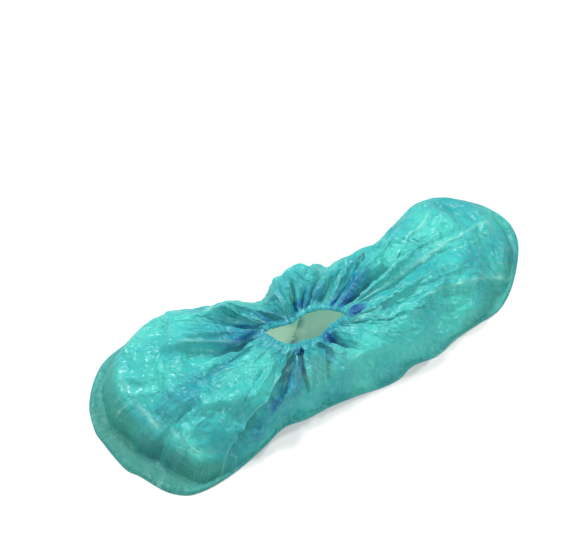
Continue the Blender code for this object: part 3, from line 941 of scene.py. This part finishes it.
# Where the film bends most over a ridge, over one and over two steps of its grid: painted
# highlights go there, and along the long creases and the toe's crest
film_mesh = ring_mesh("upper_sheet", film_rings)
bends = 0.0
spot_normals = surface_normals(film_rings)
for step in (1, 2):
    for axis in (0, 1):
        ahead = np.roll(film_rings, -step, axis=axis)
        behind = np.roll(film_rings, step, axis=axis)
        proud = ((film_rings - (ahead + behind) / 2.0) * spot_normals).sum(axis=-1)
        bends = bends + proud / np.maximum(np.linalg.norm(ahead - behind, axis=-1), 0.001) ** 2
bends[:2] = 0.0
bends[-2:] = 0.0
common_bend, rare_bend = np.percentile(bends, RIDGE_PERCENT)
ridges = RIDGE_HIGHLIGHT * np.clip((bends - common_bend) / (rare_bend - common_bend), 0.0, 1.0)
ridges = ridges * smooth_step(0.06, 0.25, inward)
flange = spokes_at(around)[2]
past_border = inward / flange_end
crest_line = np.exp(-((past_border - 1.20) / 0.07) ** 2) * smooth_step(0.7, 1.2, flange)
patches = np.clip(0.45 + 0.9 * gentle_noise(film_rings, 0.020, 64), 0.0, 1.0)
ridges = np.maximum(ridges, CREST_HIGHLIGHT * crest_line * patches)
ridges = np.maximum(ridges, CREASE_HIGHLIGHT * crease_lines * (0.35 + 0.65 * patches))

# How blue the film is painted, for the layers that lie behind each other and as painted shade:
# in the valleys, at the blue places, and in the gaps of the pleats next to the hem. It varies in
# spots of 12 mm and in streaks.
valley = np.clip(-film_lift / VALLEY_DEPTH, 0.0, 1.0)
layers_and_shade = VALLEY_SHADE_BLUE * valley * smooth_step(0.45, 0.9, inward)
for middle, depth, half_around, half_inward, blueness in BLUE_LAYERS_AND_SHADE_PLACES:
    off_around = ((around - middle + 0.5) % 1.0 - 0.5) / half_around
    off = np.hypot(off_around, (inward - depth) / half_inward)
    layers_and_shade = np.maximum(layers_and_shade, blueness * (1.0 - smooth_step(0.25, 1.0, off)))
spotted = 0.20 * gentle_noise(film_rings, 0.012, 12)
streaked = 0.35 * gentle_noise(fan * (95.0, 95.0, 2.0), 1.2, 77)
layers_and_shade = layers_and_shade * (0.85 + spotted + streaked)
layers_and_shade[FILM_ROWS:] *= ROLL_VALLEY_SHADE_BLUE
gaps = GAP_SHADE_BLUE * (1.0 - pleats(around)) * smooth_step(0.86, 0.98, inward)
gaps[FILM_ROWS:] *= ROLL_GAP_SHADE_BLUE
layers_and_shade = np.clip(layers_and_shade + gaps, 0.0, 1.0)
band = (1.0 - smooth_step(0.85, 1.15, past_border)) * np.clip(flange - 0.2, 0.2, 1.0)
for name, values in (("layers", layers_and_shade), ("edge_band", band), ("ridges", ridges)):
    stored = film_mesh.attributes.new(name, "FLOAT", "POINT")
    stored.data.foreach_set("value", values.ravel().astype(np.float32))
streak_places = film_mesh.attributes.new("fan_place", "FLOAT_VECTOR", "POINT")
streak_places.data.foreach_set("vector", (fan * STREAK_CELLS).ravel().astype(np.float32))
film = add_piece("upper_sheet", film_mesh, cpe_gathered)
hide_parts("upper_film")

# Elastic hem: the edge of the film rolled over a thin elastic thread and welded. The elastic
# draws it in to a tight ruffle, which hides the thread.
HEM_COLUMNS = 960
HEM_SIDES = 12
# The roll's radius in a crease, how much a pleat adds, both as shares of HEM_RADIUS, and how
# far round the pleats lean
RUFFLE_LEAST = 0.45
RUFFLE_PLEAT = 0.50
RUFFLE_LAG = 0.002
RUFFLE_PATCH = 0.004545
RUFFLE_WRINKLE = 0.00111
CPE_RUFFLE = "#1F8F9C"
CPE_RUFFLE_HAZE = "#3FAFB0"

around = np.arange(HEM_COLUMNS) / HEM_COLUMNS
mouth, outward = along_loop(opening_line, spokes_at(around)[1])
centre = mouth + outward * (HEM_RADIUS + HEM_RUFFLE)
sides = 2.0 * math.pi * np.arange(HEM_SIDES + 1) / HEM_SIDES
hem_rings = np.empty((HEM_SIDES + 1, HEM_COLUMNS, 3))
for k, side in enumerate(sides):
    ruffle = pleats(around + RUFFLE_LAG * math.sin(side))
    radius = HEM_RADIUS * (RUFFLE_LEAST + RUFFLE_PLEAT * ruffle)
    hem_rings[k, :, :2] = centre + outward * (radius * math.cos(side))[:, None]
    hem_rings[k, :, 2] = hem_height(around) + radius * math.sin(side)

# Cast polyethylene, rolled up: layer on layer gives a deeper teal with little light through
# it, and its wrinkles break the gloss into a dull sheen. They are drawn 1.1 mm wide, coarser
# than the real ones, so that they show.
cpe_rolled = bpy.data.materials.new("CPE film, rolled hem")
cpe_rolled.use_nodes = True
tree = cpe_rolled.node_tree
shader = tree.nodes["Principled BSDF"]
place = add_node(tree, "ShaderNodeTexCoord")
uneven = add_node(tree, "ShaderNodeTexNoise", {"Scale": 1.0 / RUFFLE_PATCH, "Detail": 2.0},
                  {"Vector": place.outputs["Object"]})
tint = add_node(tree, "ShaderNodeMix", {
    "data_type": "RGBA",
    COLOUR_FROM: linear(CPE_RUFFLE),
    COLOUR_TO: linear(CPE_RUFFLE_HAZE),
}, {MIX_SHARE: uneven.outputs["Fac"]})
tree.links.new(tint.outputs[2], shader.inputs["Base Color"])
gloss = add_node(tree, "ShaderNodeMapRange", {"To Min": 0.32, "To Max": 0.50},
                 {"Value": uneven.outputs["Fac"]})
tree.links.new(gloss.outputs["Result"], shader.inputs["Roughness"])
shader.inputs["IOR"].default_value = CPE_IOR
wrinkles = add_node(tree, "ShaderNodeTexNoise", {"Scale": 1.0 / RUFFLE_WRINKLE, "Detail": 2.0},
                    {"Vector": place.outputs["Object"]})
bump = add_node(tree, "ShaderNodeBump", {"Strength": 0.4, "Distance": 0.0003},
                {"Height": wrinkles.outputs["Fac"]})
tree.links.new(bump.outputs["Normal"], shader.inputs["Normal"])
hem = add_piece("rolled_hem", ring_mesh("rolled_hem", hem_rings), cpe_rolled)
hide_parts("elastic_hem")
